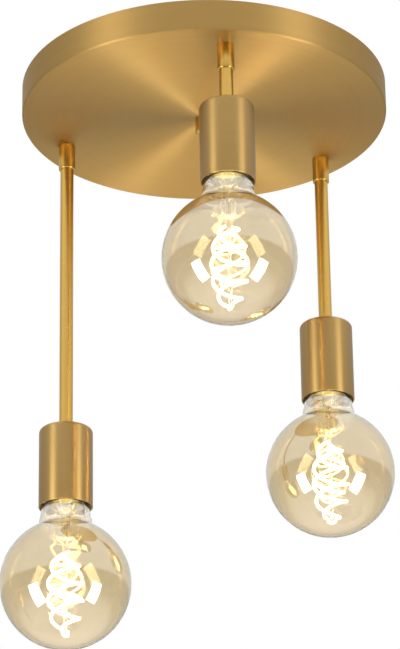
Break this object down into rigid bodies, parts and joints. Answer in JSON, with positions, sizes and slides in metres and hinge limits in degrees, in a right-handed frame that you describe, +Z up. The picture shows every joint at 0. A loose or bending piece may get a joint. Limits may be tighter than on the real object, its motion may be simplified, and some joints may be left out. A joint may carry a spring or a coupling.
{
  "type": "semi flush ceiling light",
  "caption": "Round brushed brass ceiling light with a shallow canopy, straight rods of unlike length and open cups that hold amber globe lamps.",
  "frame": {"origin": "centre of the ceiling bracket's screw slots, in the ceiling plane, on the canopy's centre line", "axes": "+Z up into the ceiling, -Y towards the short front pendant, +X to the right when seen from the front"},
  "size_m": [0.2907, 0.297, 0.424],
  "materials": {
    "satin_brass": "satin, finely brushed",
    "zinc_steel": "zinc plated",
    "bare_brass": "bright",
    "white_plastic": "moulded",
    "black_plastic": "moulded",
    "live_insulation": "smooth",
    "neutral_insulation": "smooth",
    "earth_insulation": "smooth",
    "amber_glass": "clear, amber tinted",
    "clear_glass": "clear",
    "filament_phosphor": "matte",
    "support_wire": "drawn wire",
    "circuit_board": "coated board",
    "lamp_cap_metal": "plated",
    "black_glass": "glassy",
    "solder": "soldered"
  },
  "bodies": {
    "fixture": {"ceiling_bracket": "zinc_steel", "bracket_stud": "zinc_steel", "lock_nuts": "zinc_steel", "lock_washers": "zinc_steel", "canopy_pan": "satin_brass", "cap_nut": "satin_brass", "pendant_nipples": "zinc_steel", "rod_collars": "satin_brass", "terminal_block": "white_plastic", "terminal_clamps": "bare_brass", "terminal_screws": "zinc_steel", "earth_screw": "zinc_steel", "earth_lead": "earth_insulation", "holder_contacts": "bare_brass", "front_rod": "satin_brass", "front_cup": "satin_brass", "front_holder_cap": "black_plastic", "front_holder_body": "black_plastic", "front_screw_shell": "bare_brass", "front_live_lead": "live_insulation", "front_neutral_lead": "neutral_insulation", "right_rod": "satin_brass", "right_cup": "satin_brass", "right_holder_cap": "black_plastic", "right_holder_body": "black_plastic", "right_screw_shell": "bare_brass", "right_live_lead": "live_insulation", "right_neutral_lead": "neutral_insulation", "left_rod": "satin_brass", "left_cup": "satin_brass", "left_holder_cap": "black_plastic", "left_holder_body": "black_plastic", "left_screw_shell": "bare_brass", "left_live_lead": "live_insulation", "left_neutral_lead": "neutral_insulation"},
    "front_contact": {"front_contact_tip": "solder"},
    "front_lamp": {"front_glass": "amber_glass", "front_stem": "clear_glass", "front_filament": "filament_phosphor", "front_filament_supports": "support_wire", "front_driver": "circuit_board", "front_cap_shell": "lamp_cap_metal", "front_cap_insulator": "black_glass"},
    "right_contact": {"right_contact_tip": "solder"},
    "right_lamp": {"right_glass": "amber_glass", "right_stem": "clear_glass", "right_filament": "filament_phosphor", "right_filament_supports": "support_wire", "right_driver": "circuit_board", "right_cap_shell": "lamp_cap_metal", "right_cap_insulator": "black_glass"},
    "left_contact": {"left_contact_tip": "solder"},
    "left_lamp": {"left_glass": "amber_glass", "left_stem": "clear_glass", "left_filament": "filament_phosphor", "left_filament_supports": "support_wire", "left_driver": "circuit_board", "left_cap_shell": "lamp_cap_metal", "left_cap_insulator": "black_glass"}
  },
  "joints": [
    {"name": "front_lamp_travel", "type": "slide", "parent": "fixture", "child": "front_contact", "axis": [0, 0, -1], "range_m": [0, 0.01815]},
    {"name": "front_lamp_turn", "type": "hinge", "parent": "front_contact", "child": "front_lamp", "pos_m": [0, -0.113, -0.134], "axis": [0, 0, -1], "range_deg": [0, 1800]},
    {"name": "right_lamp_travel", "type": "slide", "parent": "fixture", "child": "right_contact", "axis": [0, 0, -1], "range_m": [0, 0.01815]},
    {"name": "right_lamp_turn", "type": "hinge", "parent": "right_contact", "child": "right_lamp", "pos_m": [0.09786, 0.0565, -0.225], "axis": [0, 0, -1], "range_deg": [0, 1800]},
    {"name": "left_lamp_travel", "type": "slide", "parent": "fixture", "child": "left_contact", "axis": [0, 0, -1], "range_m": [0, 0.01815]},
    {"name": "left_lamp_turn", "type": "hinge", "parent": "left_contact", "child": "left_lamp", "pos_m": [-0.09786, 0.0565, -0.318], "axis": [0, 0, -1], "range_deg": [0, 1800]}
  ],
  "couplings": [
    {"joint": "front_lamp_travel", "follows": "front_lamp_turn", "m_per_rad": 0.0005775},
    {"joint": "right_lamp_travel", "follows": "right_lamp_turn", "m_per_rad": 0.0005775},
    {"joint": "left_lamp_travel", "follows": "left_lamp_turn", "m_per_rad": 0.0005775}
  ]
}
